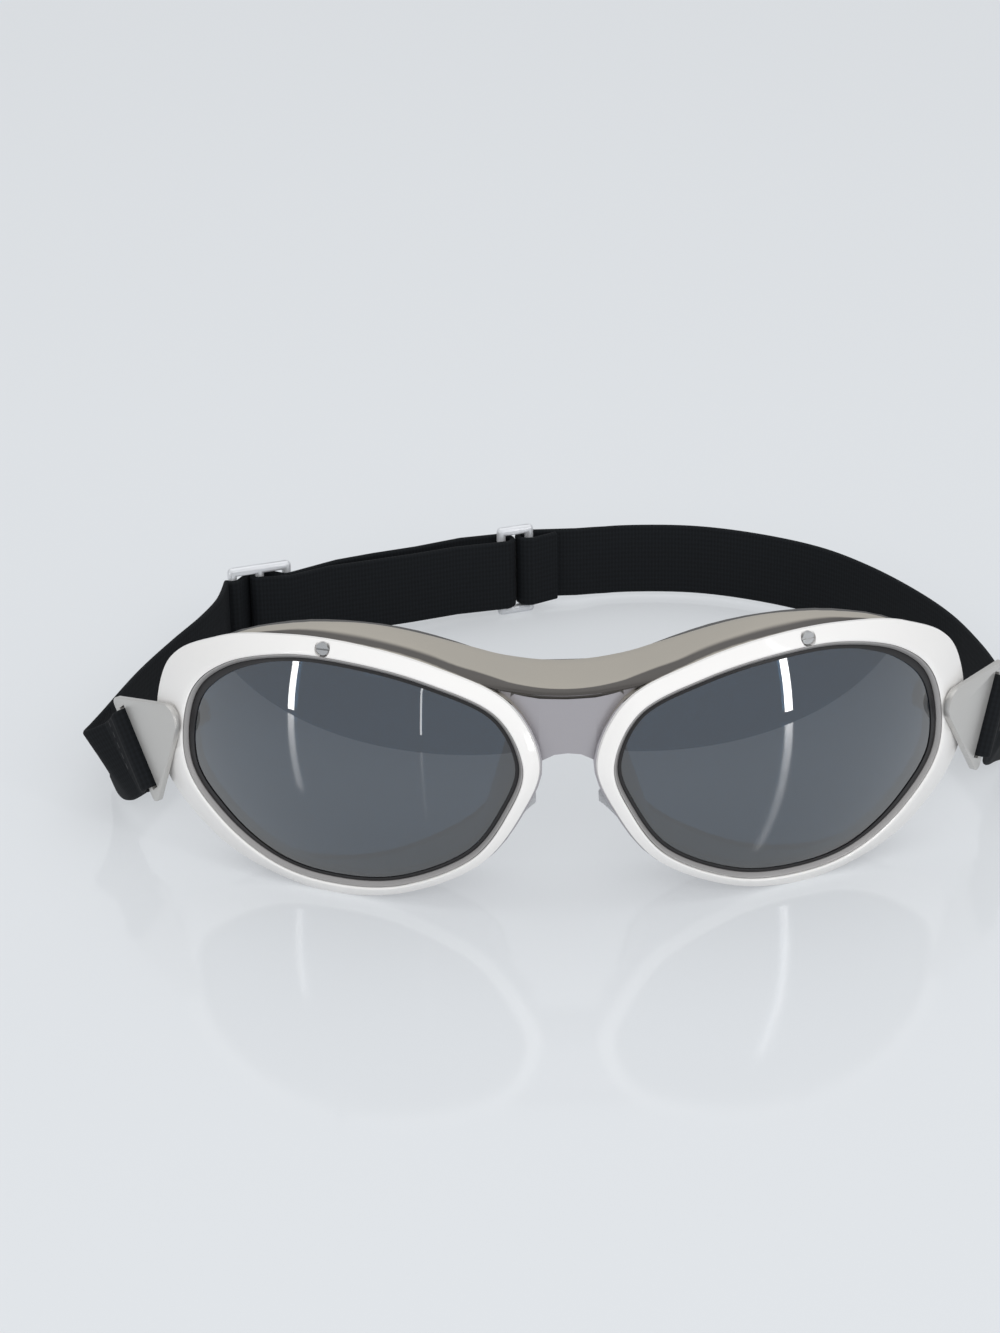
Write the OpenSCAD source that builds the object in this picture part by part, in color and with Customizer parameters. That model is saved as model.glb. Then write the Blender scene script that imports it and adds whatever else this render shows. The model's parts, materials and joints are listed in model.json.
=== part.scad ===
// Goggle sunglasses with domed lenses, a deep shell and an elastic head strap.
// X runs along the width, the lenses face -Y, the strap loop lies towards +Y and Z is up.
// The part stands on the rims and on the strap hardware, with its origin under its middle.
// Names with left and right are as seen from the front: left is -X.

/* [Eyes] */
// Distance between the two eye centres
eye_pitch = 81.2; // [79:0.2:90]
// Width of the rim's opening, measured flat
eye_w = 67.4; // [62:0.2:69]
// Height of the rim's opening
eye_h = 45; // [40:0.5:48]
// Radius of the dome that the rim fronts lie on
dome_r = 72; // [66:1:110]
// Angle by which each eye turns outwards
wrap = 20; // [14:0.5:22]

/* [Rims] */
// Width of the rim's band along the top
rim_top = 2.8; // [2.6:0.1:3.2]
// Width of the rim's band along the bottom
rim_bottom = 1.9; // [1.6:0.1:2.6]
// Width of the rim's band at the upper outer corner
rim_corner = 7.6; // [6.8:0.1:8]
// Depth of the rim from its crest to its seat
rim_depth = 4.4; // [4.2:0.1:5]
// How far the rim's face falls back at its outer edge
rim_fall = 0.7; // [0.5:0.1:1]

/* [Lenses] */
// Thickness of the lens
lens_t = 2; // [1.6:0.1:2.2]
// How far the lens lies behind the rim's crest
lens_set = 1.6; // [1.4:0.1:1.8]
// Visible width of the grey ring inside the rim
ring_w = 1.1; // [1:0.1:1.3]
// Visible width of the black gasket inside the ring
gasket_w = 0.5; // [0.4:0.1:0.7]

/* [Shell] */
// Wall of the shell
wall = 1.7; // [1.4:0.1:2]
// Thickness of the flange behind the lens
flange = 2; // [1.6:0.1:2.4]
// Depth of the shell at the bridge
brow_depth = 20; // [17:0.5:24]
// How much further back the shell reaches at the temples
face_wrap = 19; // [16:0.5:21]
// Height of the bridge's top above the table
bridge_top = 41.6; // [40:0.2:43]
// Height of the arch under the bridge
bridge_arch = 30.4; // [28:0.2:32]
// How far behind the part's front the middle of the bridge lies
bridge_front = 4.6; // [4:0.2:6]
// Depth of the soft seal on the shell's back edge
seal_depth = 2; // [1:0.2:4]
// Thickness of a nose pad
pad_t = 1.2; // [0.8:0.1:1.6]

/* [Screws] */
// Diameter of the rim screw's head
screw_head = 2.4; // [2:0.1:2.6]
// Diameter of the rim screw's shank
screw_shank = 1.2; // [1:0.1:1.4]
// Place of the rim screw along the rim's top
screw_u = 5; // [2:0.5:10]

/* [End pieces] */
// Height of the pivot above the eye's centre
pivot_w = 3.6; // [1:0.2:6]
// Diameter of the pivot stud
stud_d = 2.4; // [2:0.1:2.8]
// Thickness of the end piece's plate
plate_t = 1.4; // [1:0.1:2]
// Radius of the end piece's round end
apex_r = 3.2; // [3:0.1:3.6]
// Distance from the pivot to the middle of the slot
slot_reach = 11.5; // [11:0.5:13]
// Width of the slot
slot_w = 1.9; // [1.7:0.1:2.4]
// Turn of the left end piece at rest
turn_left = -6; // [-10:1:4]
// Turn of the right end piece at rest
turn_right = 6; // [-4:1:8]

/* [Strap] */
// Width of the strap
strap_w = 16; // [14:0.5:17]
// Thickness of the strap
strap_t = 1.2; // [1:0.1:1.3]
// Gap that the strap keeps above the table
strap_lift = 1.4; // [0.8:0.1:2]
// Distance between the slider's bars
slider_step = 6; // [5.8:0.1:7]
// Diameter of the slider's and the ring's bars
bar_d = 1.6; // [1.4:0.1:1.7]
// Distance between the ring's long bars
ring_step = 6.4; // [6:0.2:8]

/* [Hidden] */
$fn = 48;
dome_fn = 160;

// Clearances
fit = 0.05;
gap = 0.1;
soft_gap = 0.3;

// How far the construction shapes reach past the part
reach_front = -20;
reach_back = 60;
reach_up = 70;
reach_down = 5;
// Length of a cutter that passes right through what it cuts
through = 14;

// Outline of the rim's opening as drawn, clockwise from the nose, in u across and w up
drawn_w = 67.4;
drawn_h = 45;
drawn = [
    [-31.6, 6], [-26.6, 15.8], [-14.7, 21.3], [-1.5, 23.8], [12, 23.5], [25.5, 19], [33.9, 10.5],
    [35.2, -3.6], [27.1, -12.9], [15.6, -19.2], [3.5, -20.8], [-9.3, -19.3], [-22.4, -12.8], [-29.3, -2.9]
];
eye_points = [for (p = drawn) [p[0] * eye_w / drawn_w, p[1] * eye_h / drawn_h]];
// Width of the rim's band at each of those points
band = [
    rim_top - 0.3, rim_top - 0.3, rim_top - 0.2, rim_top, rim_top + 0.2,
    rim_corner - 3.2, rim_corner, rim_corner + 0.3,
    rim_corner - 2.1, rim_bottom + 1, rim_bottom + 0.6, rim_bottom,
    rim_bottom - 0.1, rim_bottom + 0.1
];
steps = 4;

function cr(a, b, c, d, t) =
    0.5 * (2 * b + (c - a) * t + (2 * a - 5 * b + 4 * c - d) * t * t + (3 * b - a - 3 * c + d) * t * t * t);
function at(p, i) = p[(i + len(p)) % len(p)];
function loop_curve(p, n) = [
    for (i = [0 : len(p) - 1]) for (k = [0 : n - 1])
        cr(at(p, i - 1), p[i], at(p, i + 1), at(p, i + 2), k / n)
];
function hold(p, i) = p[max(0, min(len(p) - 1, i))];
function open_curve(p, n) = [
    for (i = [0 : len(p) - 2]) for (k = [0 : n - 1])
        cr(hold(p, i - 1), p[i], p[i + 1], hold(p, i + 2), k / n),
    p[len(p) - 1]
];
function unit(v) = v / norm(v);
function side(p, i) = let (t = unit(at(p, i + 1) - at(p, i - 1))) [-t[1], t[0]];
function grow(p, d) = [for (i = [0 : len(p) - 1]) p[i] + d * side(p, i)];
function grow_each(p, d) = [for (i = [0 : len(p) - 1]) p[i] + d[i] * side(p, i)];

// Outlines of the eye: the opening, the rim's outer edge and the shell under it
opening = loop_curve(eye_points, steps);
rim_outer = loop_curve(grow_each(eye_points, band), steps);
shell_edge = 0.2;
shell_reach = rim_top - shell_edge;
shell_outline = loop_curve(grow_each(eye_points, [for (b = band) min(b - shell_edge, shell_reach)]), steps);
glass_edge = ring_w + gasket_w;

// Place of the right eye
eye_x = eye_pitch / 2;
eye_y = 5.2;
eye_z = -min([for (p = rim_outer) p[1]]);

// Levels behind the rim's crest
seat = rim_depth;
flank = rim_fall + 0.6;
shell_level = (flank + seat) / 2;
back_face = rim_depth + flange;
lens_back = lens_set + lens_t;
lip = 0.6;

// Height of the dome over the flat of the eye, at a level behind the crest
function dome(p, level) = sqrt(pow(dome_r - level, 2) - p[0] * p[0] - p[1] * p[1]) - dome_r;
// A point of the eye in the part's own axes
function place(p, level) = let (n = dome(p, level)) [
    eye_x + p[0] * cos(wrap) + n * sin(wrap),
    eye_y + p[0] * sin(wrap) - n * cos(wrap),
    eye_z + p[1]
];
function front_view(pts, level) = [for (p = pts) let (q = place(p, level)) [q[0], q[2]]];

// Back edge of the shell, seen from above
temple_x = place([eye_w / 2 + rim_corner, 0], seat)[0];
function face_y(x) = brow_depth + face_wrap * pow(abs(x) / temple_x, 5);
face_steps = 16;
face_reach = 1.15 * temple_x;
function face_line(extra) = [
    for (i = [-face_steps : face_steps]) let (x = face_reach * i / face_steps) [x, face_y(x) + extra]
];

// Pivot of the end piece on the rim's outer flank
pivot_out = 5.9;
pivot_u = eye_w / 2 + pivot_out;
pivot_at = place([pivot_u, pivot_w], 0);
pivot_yaw = wrap + asin(pivot_u / dome_r);
stud_r = stud_d / 2;
pivot_stack = back_face + 0.6;
washer_t = 0.5;
pivot_head_t = 1.1;
pivot_thread = 3;
slit_w = 0.5;

// End piece in its own flat frame with the pivot at the centre: its round end and its strap slot
apex_at = [-1.7, 0.8];
slot_lean = 32;
slot_drop = -37;
slot_mid = slot_reach * [cos(slot_drop), sin(slot_drop)];
slot_dir = [sin(slot_lean), cos(slot_lean)];
slot_out = [cos(slot_lean), -sin(slot_lean)];
slot_len = strap_w + 0.8;
tip_r = 1.2;
bar_w = 1.6;
bar_off = slot_w + bar_w / 2;
bar_mid = slot_mid + bar_off * slot_out;
tip_reach = slot_len / 2 + tip_r;
tip_up = bar_mid + tip_reach * slot_dir + (bar_w / 2 - tip_r) * slot_out;
tip_low = bar_mid - tip_reach * slot_dir + (bar_w / 2 - tip_r) * slot_out;

// Sewn tab round the end piece's bar
tab_in = 1.2;
tab_reach = 6.5;
tab_end = bar_off + tab_reach;

function turned(p, a) = [p[0] * cos(a) - p[1] * sin(a), p[0] * sin(a) + p[1] * cos(a)];
// A point of the end piece's flat frame, in the part's own axes, right side
function plate_point(p, turn, t) = let (q = turned(p, turn)) [
    pivot_at[0] + q[0] * cos(pivot_yaw) + t * sin(pivot_yaw),
    pivot_at[1] + q[0] * sin(pivot_yaw) - t * cos(pivot_yaw),
    pivot_at[2] + q[1]
];
function tab_corner(turn, up) =
    plate_point(slot_mid + (tab_end + soft_gap) * slot_out + up * strap_w / 2 * slot_dir, turn, plate_t / 2);

// Slider and ring on the strap's back run
bar_r = bar_d / 2;
bar_play = 1;
hardware_h = strap_w + bar_play + 2 * bar_d;
hardware_mid = hardware_h / 2;
slider_at = [-61.3, 122.6];
slider_yaw = 19;
ring_at = [-6, 141.7];
ring_yaw = 19;
bar_gap = 0.1;
layer_gap = 0.15;
around = bar_r + bar_gap + strap_t / 2;
over = around + strap_t + layer_gap;

function along(origin, yaw, s, t) = origin + [s * cos(yaw) - t * sin(yaw), s * sin(yaw) + t * cos(yaw)];
function arc(origin, yaw, s, r, a, b, n) =
    [for (k = [0 : n]) let (g = a + (b - a) * k / n) along(origin, yaw, s + r * cos(g), r * sin(g))];
weave = asin((around + over) / slider_step);

// Middle line of the left strap, seen from above, from its side run through the slider to the
// ring and back to the slider's middle bar
left_side = [[-88, 58], [-83.2, 74.5], [-77.8, 89], [-72.6, 100.5], [-69.6, 109], [-68.6, 115]];
left_line = concat(
    open_curve(left_side, 3),
    arc(slider_at, slider_yaw, -slider_step, around, 195, 270 + weave, 5),
    arc(slider_at, slider_yaw, 0, over, 90 + weave, 90 - weave, 6),
    arc(slider_at, slider_yaw, slider_step, around, 270 - weave, 270, 3),
    [[-45, 130], [-37, 133.4], [-28, 136.6], [-18, 141.2]],
    arc(ring_at, ring_yaw, -ring_step / 2, around, 80, -80, 9),
    [[-19, 136], [-29, 132.2], [-38, 129.2], [-46.5, 126.6]],
    [along(slider_at, slider_yaw, slider_step, -around - strap_t - 0.2)],
    arc(slider_at, slider_yaw, 0, around, -84, -335, 10)
);
// Middle line of the right strap, from its sewn end round the ring's right bar to its side run
right_side = [
    [7.5, 146], [17.5, 148.3], [33, 147.2], [47, 141.8], [60, 133], [69.5, 121.5], [77.5, 107.5], [83, 94],
    [86.4, 79.5], [88, 68], [88.5, 58]
];
tail = 6;
right_line = concat(
    [along(ring_at, ring_yaw, ring_step / 2 + tail, -around + 0.4)],
    arc(ring_at, ring_yaw, ring_step / 2, around, 270, 80, 9),
    open_curve(right_side, 3)
);

function stand(p, z) = [p[0], p[1], z];
strap_low = strap_lift;
strap_high = hardware_mid - strap_w / 2;
// Height of the strap's lower edge: lifted to the middle of the slider and the ring
lift_from = -78;
lift_to = 14;
lift_run = 10;
function lift_share(x) = max(0, min(1, min((x - lift_from) / lift_run, (lift_to - x) / lift_run)));
function lift_at(x) = strap_low + (strap_high - strap_low) * lift_share(x);
function low_edge(line) = [for (p = line) stand(p, lift_at(p[0]))];
function high_edge(line) = [for (p = line) stand(p, lift_at(p[0]) + strap_w)];

// Where the side runs begin, as seen on the right side, less a small gap
left_join = [-left_side[0][0], left_side[0][1] - gap];
right_join = right_side[len(right_side) - 1] - [0, gap];
// Front stretch of a strap, from the tab to the side run, and how it follows each degree of turn
front_low = [[84.2, 44.9, 5.4], [86.9, 50.9, 2.8]];
front_high = [[91.6, 49.4, 17.8], [90.6, 53.2, 17.8]];
front_follow = [0, 0.15, 0.2];
function front_edge(turn, up, middle, last) =
    open_curve(concat([tab_corner(turn, up)], [for (p = middle) p + turn * front_follow], [last]), 5);

// A band between two edge curves, thickened to both sides
function band_normal(low, high, i) = let (
    m = [for (k = [0 : len(low) - 1]) (low[k] + high[k]) / 2],
    t = hold(m, i + 1) - hold(m, i - 1)
) unit(cross(t, high[i] - low[i]));
module ribbon(low, high, t) {
    n = len(low);
    pts = [for (i = [0 : n - 1]) let (v = band_normal(low, high, i) * t / 2) each
        [low[i] - v, low[i] + v, high[i] + v, high[i] - v]];
    walls = [for (i = [0 : n - 2]) for (k = [0 : 3]) let (a = 4 * i + k, b = 4 * i + (k + 1) % 4) each
        [[a, b, b + 4], [a, b + 4, a + 4]]];
    polyhedron(pts, concat(walls, [[0, 3, 2], [0, 2, 1]], [
        [4 * n - 4, 4 * n - 3, 4 * n - 2], [4 * n - 4, 4 * n - 2, 4 * n - 1]
    ]));
}

// Puts the whole part over its origin
y_front = min([for (p = opening) place(p, 0)[1]]);
y_back = max([for (p = right_line) p[1]]) + strap_t / 2;
module stood() { translate([0, -(y_front + y_back) / 2, 0]) children(); }
// Puts a shape of the right eye's frame in place, on the right or the left side
module eye() { translate([eye_x, eye_y, eye_z]) rotate([0, 0, wrap]) rotate([90, 0, 0]) children(); }
module on_side(left) { mirror([left ? 1 : 0, 0, 0]) children(); }
module plate_frame() { translate(pivot_at) rotate([0, 0, pivot_yaw]) rotate([90, 0, 0]) children(); }

// Ball whose surface is the dome at a level behind the crest
module ball(level) { translate([0, 0, -dome_r]) sphere(r = dome_r - level, $fn = dome_fn); }
prism_back = 30;
prism_front = 10;
module eye_prism(pts) {
    translate([0, 0, -prism_back]) linear_extrude(prism_back + prism_front) polygon(pts);
}
// A plate with the outline's sides and domed faces at two levels
module skin(pts, front, back) {
    intersection() {
        eye_prism(pts);
        difference() {
            ball(front);
            ball(back);
        }
    }
}
// Extrusion along Y of a shape drawn in front view
module along_y(y0, y1) { translate([0, y1, 0]) rotate([90, 0, 0]) linear_extrude(y1 - y0) children(); }

// Rim cover: a ring with a crest near its inner edge and a face that falls outwards
crest = 0.14;
rim_profile = [[0, -0.4], [crest, 0], [0.5, -0.3], [0.82, -0.75], [1, -1]];
rim_root = 6;
module rim_ring() {
    n = len(opening);
    m = len(rim_profile) + 2;
    function rim_point(i, f, level) =
        let (p = opening[i] + (rim_outer[i] - opening[i]) * f) [p[0], p[1], dome(p, level)];
    pts = [for (i = [0 : n - 1]) each concat(
        [rim_point(i, 0, rim_root)],
        [for (q = rim_profile) rim_point(i, q[0], -q[1] * rim_fall)],
        [rim_point(i, 1, rim_root)]
    )];
    faces = [for (i = [0 : n - 1]) for (k = [0 : m - 1]) let (
        next = m * ((i + 1) % n), turn = (k + 1) % m,
        a = m * i + k, b = m * i + turn, c = next + turn, d = next + k
    ) each [[a, b, c], [a, c, d]]];
    polyhedron(pts, faces);
}
screw_w = max([for (p = opening) abs(p[0] - screw_u) < 3 ? p[1] : 0]) + rim_top / 2;
screw_sink = 1;
screw_head_t = 0.8;
screw_bite = 3.6;
// The rim's inner part reaches to the seat, its outer part lies on the shell at the flank's level
spigot = 1;
screw_slit = 0.4;
module screw_axis() { translate([screw_u, screw_w, dome([screw_u, screw_w], 0)]) children(); }
ear_r = apex_r - 0.2;
module rim_cover() {
    color("whitesmoke") difference() {
        union() {
            difference() {
                eye() rim_ring();
                eye() difference() {
                    ball(flank);
                    eye_prism(grow(opening, spigot));
                }
            }
            intersection() {
                plate_frame() translate([0, 0, -back_face]) cylinder(r = ear_r, h = back_face - gap);
                eye() eye_prism(grow(rim_outer, 2));
            }
        }
        eye() {
            ball(seat);
            eye_prism(opening);
            screw_axis() translate([0, 0, -screw_sink]) cylinder(d = screw_head + gap, h = through);
            screw_axis() translate([0, 0, -through / 2]) cylinder(d = screw_shank + 2 * gap, h = through);
        }
        plate_frame() translate([0, 0, -gap]) cylinder(r = apex_r + norm(apex_at) + soft_gap, h = through);
        plate_frame() translate([0, 0, -through]) cylinder(r = stud_r + fit, h = 2 * through);
    }
}
module rim_screw() {
    color("silver") eye() screw_axis() difference() {
        union() {
            translate([0, 0, -screw_sink]) cylinder(d = screw_head, h = screw_head_t);
            translate([0, 0, -rim_depth - screw_bite])
                cylinder(d = screw_shank, h = rim_depth + screw_bite - screw_sink + 0.1);
        }
        translate([-screw_head, -screw_slit / 2, -screw_sink + screw_head_t - 0.3])
            cube([2 * screw_head, screw_slit, screw_head_t]);
    }
}
insert_d = screw_shank + 1;
insert_top = rim_depth + 1;
insert_len = 3.4;
module screw_insert() {
    color("goldenrod") eye() screw_axis() difference() {
        translate([0, 0, -insert_top - insert_len]) cylinder(d = insert_d, h = insert_len);
        translate([0, 0, -insert_top - insert_len - 1]) cylinder(d = screw_shank, h = insert_len + 2);
    }
}

// Grey ring that holds the gasket and the lens in the rim
module lens_ring() {
    color("lightslategray") eye() difference() {
        skin(grow(opening, -gap), lens_set - lip - 0.4, seat);
        skin(grow(opening, -ring_w / 2 - gap), lens_set - lip, seat + 1);
        eye_prism(grow(opening, -ring_w));
    }
}
module lens_gasket() {
    color("black") eye() difference() {
        skin(grow(opening, -ring_w / 2 - gap), lens_set - lip, seat);
        skin(grow(opening, -ring_w / 2 - gap - lip), lens_set, lens_back);
        eye_prism(grow(opening, -glass_edge));
    }
}
module lens() {
    color("dimgray", 0.8) eye() skin(grow(opening, -ring_w / 2 - gap - lip), lens_set, lens_back);
}

// Space for the nose, a tilted cone that widens downwards
nose_top = bridge_arch + 2;
nose_r = 7;
nose_spread = 11;
nose_lean = 9.5;
nose_back = 2.5;
nose_below = 10;
nose_tilt = atan(nose_lean / nose_top);
module nose(extra) {
    translate([0, brow_depth + nose_back - nose_lean, 0]) rotate([-nose_tilt, 0, 0])
        translate([0, 0, -nose_below]) rotate([0, 0, 90]) cylinder(
            r1 = nose_r + nose_spread * (1 + nose_below / nose_top) + extra,
            r2 = nose_r + extra,
            h = norm([nose_top, nose_lean]) + nose_below
        );
}
// Everything in front of the shell's back edge, and the bridge between the eyes
module before_face(extra) {
    translate([0, 0, -reach_down]) linear_extrude(reach_up)
        polygon(concat([[face_reach, reach_front], [-face_reach, reach_front]], face_line(extra)));
}
bridge_half = open_curve([[0, 0], [6, 0.1], [12, 0.6], [17, 2], [22.5, 4.5], [28, 6.1], [34, 7.1]], 2);
arch_half = [[34, 14], [10, -6], [6.6, -4.2], [4.6, -1.4], [2.4, -0.3]];
bridge_outline = concat(
    [for (p = bridge_half) [p[0], bridge_top + p[1]]],
    [for (p = arch_half) [p[0], bridge_arch + p[1]]],
    [[0, bridge_arch]],
    [for (i = [len(arch_half) - 1 : -1 : 0]) [-arch_half[i][0], bridge_arch + arch_half[i][1]]],
    [for (i = [len(bridge_half) - 1 : -1 : 1]) [-bridge_half[i][0], bridge_top + bridge_half[i][1]]]
);
// Front of the bridge, seen from above
bridge_plan = [[0, 0], [5, 0.2], [11, 1.6], [17, 3], [23, 4.4], [36, 7.8]];
module bridge_space(extra) {
    last = len(bridge_plan) - 1;
    side_x = bridge_plan[last][0];
    translate([0, bridge_front - extra, 0]) linear_extrude(reach_up) polygon(concat(
        bridge_plan,
        [[side_x, reach_back], [-side_x, reach_back]],
        [for (i = [last : -1 : 1]) [-bridge_plan[i][0], bridge_plan[i][1]]]
    ));
}
module cups(extra) {
    for (left = [false, true])
        on_side(left) intersection() {
            along_y(reach_front, reach_back) polygon(front_view(grow(shell_outline, extra), shell_level));
            eye() ball(flank);
        }
    intersection() {
        along_y(reach_front, reach_back) translate([0, extra]) polygon(bridge_outline);
        bridge_space(extra);
    }
}
module hollows() {
    for (left = [false, true])
        on_side(left) intersection() {
            along_y(reach_front, reach_back) polygon(front_view(grow(shell_outline, -wall), shell_level));
            eye() ball(back_face);
        }
}
boss_wall = 0.9;
boss_r = insert_d / 2 + boss_wall;
module frame_shell() {
    color("rosybrown") difference() {
        union() {
            intersection() {
                union() {
                    difference() {
                        cups(0);
                        hollows();
                    }
                    intersection() {
                        cups(0);
                        nose(wall);
                    }
                }
                before_face(0);
            }
            for (left = [false, true])
                on_side(left) intersection() {
                    union() {
                        eye() screw_axis() translate([0, 0, -insert_top - insert_len - 0.8])
                            cylinder(r = boss_r, h = insert_len + 3);
                        plate_frame() translate([0, 0, -pivot_stack]) cylinder(r = ear_r, h = pivot_stack);
                    }
                    cups(0);
                }
        }
        nose(0);
        for (left = [false, true])
            on_side(left) {
                eye() difference() {
                    eye_prism(grow(opening, -glass_edge));
                    ball(back_face + 0.5);
                }
                eye() difference() {
                    eye_prism(grow(opening, spigot + fit));
                    ball(seat);
                }
                eye() difference() {
                    eye_prism(grow(rim_outer, fit));
                    ball(flank);
                }
                difference() {
                    plate_frame() translate([0, 0, -through]) cylinder(r = ear_r + fit, h = 2 * through);
                    eye() ball(seat);
                }
                eye() screw_axis() {
                    translate([0, 0, -insert_top - insert_len]) cylinder(d = insert_d, h = insert_len);
                    translate([0, 0, -insert_top - 1]) cylinder(d = screw_shank + 2 * gap, h = through);
                }
                plate_frame() translate([0, 0, -through]) cylinder(r = stud_r + fit, h = 2 * through);
                plate_frame() translate([0, 0, -pivot_stack - through]) cylinder(r = ear_r, h = through);
            }
    }
}
// Soft seal along the shell's back edge
seal_inset = 0.4;
seal_gap = 0.6;
module face_seal() {
    color("dimgray") difference() {
        intersection() {
            union() {
                difference() {
                    cups(-seal_inset);
                    hollows();
                }
                intersection() {
                    cups(-seal_inset);
                    nose(wall);
                }
            }
            before_face(seal_depth);
        }
        before_face(0);
        nose(0);
        for (left = [false, true])
            on_side(left) plate_frame() translate([0, 0, -through])
                cylinder(r = ear_r + seal_gap, h = 2 * through);
    }
}
pad_in = 5;
pad_front = 8;
pad_low = 8;
pad_h = 15;
pad_r = 6.4;
module nose_pad() {
    color("gray") intersection() {
        difference() {
            nose(0);
            nose(-pad_t);
        }
        translate([pad_in, pad_front, pad_low]) cube([through, brow_depth - seal_inset - pad_front, pad_h]);
        translate([0, brow_depth - pad_r - 0.6, pad_low + pad_h / 2])
            rotate([0, 90, 0]) cylinder(r = pad_r, h = 2 * through);
    }
}

// Straight sides and round corners round a chain of circles, given anticlockwise
function tangent_angle(a, b) = let (v = b[0] - a[0]) atan2(v[1], v[0]) - acos((a[1] - b[1]) / norm(v));
corner_steps = 14;
module round_plate(c) {
    polygon([for (i = [0 : len(c) - 1]) let (
        q = c[i],
        first = tangent_angle(at(c, i - 1), q),
        sweep = (tangent_angle(q, at(c, i + 1)) - first + 720) % 360
    ) for (k = [0 : corner_steps]) let (g = first + sweep * k / corner_steps)
        q[0] + q[1] * [cos(g), sin(g)]]);
}
module slot_frame() { translate(slot_mid) rotate([0, 0, -slot_lean]) children(); }
module end_piece(turn) {
    color("silver") plate_frame() rotate([0, 0, turn]) difference() {
        union() {
            linear_extrude(plate_t) difference() {
                round_plate([[apex_at, apex_r], [tip_low, tip_r], [tip_up, tip_r]]);
                slot_frame() translate([0, -slot_len / 2]) square([slot_w, slot_len]);
            }
            translate([0, 0, -pivot_stack - washer_t - gap])
                cylinder(r = stud_r, h = pivot_stack + washer_t + 1);
        }
        translate([0, 0, -pivot_stack - washer_t - 1]) cylinder(d = screw_shank, h = 5);
    }
}
module pivot_washer() {
    color("silver") plate_frame() translate([0, 0, -pivot_stack - washer_t]) difference() {
        cylinder(r = ear_r - 0.2, h = washer_t);
        translate([0, 0, -1]) cylinder(r = stud_r + fit, h = 3);
    }
}
module pivot_screw(turn) {
    color("silver") plate_frame() rotate([0, 0, turn])
        translate([0, 0, -pivot_stack - washer_t - gap - pivot_head_t]) difference() {
            union() {
                cylinder(r = ear_r - 0.5, h = pivot_head_t);
                cylinder(d = screw_shank, h = pivot_head_t + pivot_thread);
            }
            translate([-ear_r, -slit_w / 2, -1]) cube([2 * ear_r, slit_w, 1 + slit_w]);
        }
}

// Strap end sewn back on itself round the end piece's bar
module strap_tab(turn) {
    tab_out = tab_in + strap_t;
    color("black") plate_frame() rotate([0, 0, turn]) slot_frame()
        translate([bar_off, strap_w / 2, plate_t / 2]) rotate([90, 0, 0])
            linear_extrude(strap_w) difference() {
                polygon(concat(
                    [for (g = [90 : 15 : 270]) tab_out * [cos(g), sin(g)]],
                    [[tab_out, -strap_t], [tab_reach, -strap_t], [tab_reach, strap_t], [tab_out, strap_t]]
                ));
                circle(r = tab_in);
            }
}
module strap_front(turn, last) {
    low = front_edge(turn, -1, front_low, [last[0], last[1], strap_low]);
    high = front_edge(turn, 1, front_high, [last[0], last[1], strap_low + strap_w]);
    color("black") ribbon(low, high, strap_t);
}
module strap_left() { color("black") ribbon(low_edge(left_line), high_edge(left_line), strap_t); }
module strap_right() { color("black") ribbon(low_edge(right_line), high_edge(right_line), strap_t); }

// Bars between two rails, upright at a place on the strap
module hardware(origin, yaw, places) {
    half = places[len(places) - 1];
    color("gainsboro") translate([origin[0], origin[1], 0]) rotate([0, 0, yaw]) {
        for (s = places)
            translate([s, 0, bar_r]) cylinder(r = bar_r, h = hardware_h - bar_d);
        for (z = [bar_r, hardware_h - bar_r]) {
            translate([-half, 0, z]) rotate([0, 90, 0]) cylinder(r = bar_r, h = 2 * half);
            for (s = places)
                translate([s, 0, z]) sphere(r = bar_r);
        }
    }
}
module strap_slider() { hardware(slider_at, slider_yaw, [-slider_step, 0, slider_step]); }
module strap_ring() { hardware(ring_at, ring_yaw, [-ring_step / 2, ring_step / 2]); }

stood() frame_shell();
stood() face_seal();
stood() on_side(true) rim_cover();  // rim_cover_left
stood() on_side(false) rim_cover();  // rim_cover_right
stood() on_side(true) lens_ring();  // lens_ring_left
stood() on_side(false) lens_ring();  // lens_ring_right
stood() on_side(true) lens_gasket();  // lens_gasket_left
stood() on_side(false) lens_gasket();  // lens_gasket_right
stood() on_side(true) lens();  // lens_left
stood() on_side(false) lens();  // lens_right
stood() on_side(true) rim_screw();  // rim_screw_left
stood() on_side(false) rim_screw();  // rim_screw_right
stood() on_side(true) screw_insert();  // screw_insert_left
stood() on_side(false) screw_insert();  // screw_insert_right
stood() on_side(true) nose_pad();  // nose_pad_left
stood() on_side(false) nose_pad();  // nose_pad_right
stood() on_side(true) end_piece(turn_left);  // end_piece_left
stood() on_side(false) end_piece(turn_right);  // end_piece_right
stood() on_side(true) pivot_washer();  // pivot_washer_left
stood() on_side(false) pivot_washer();  // pivot_washer_right
stood() on_side(true) pivot_screw(turn_left);  // pivot_screw_left
stood() on_side(false) pivot_screw(turn_right);  // pivot_screw_right
stood() on_side(true) strap_tab(turn_left);  // strap_tab_left
stood() on_side(false) strap_tab(turn_right);  // strap_tab_right
stood() on_side(true) strap_front(turn_left, left_join);  // strap_front_left
stood() on_side(false) strap_front(turn_right, right_join);  // strap_front_right
stood() strap_left();
stood() strap_right();
stood() strap_slider();
stood() strap_ring();
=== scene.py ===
# %% [markdown]
# Goggle sunglasses on a white table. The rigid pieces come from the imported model, which this script
# never moves. What it adds is what a drawing for the workshop leaves out: smooth curved surfaces,
# the elastic strap with its weave and stitches, and the finish of each material.

# %% Load the frame
import json
import math

import bmesh
import bpy
from mathutils import Matrix, Vector

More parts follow.
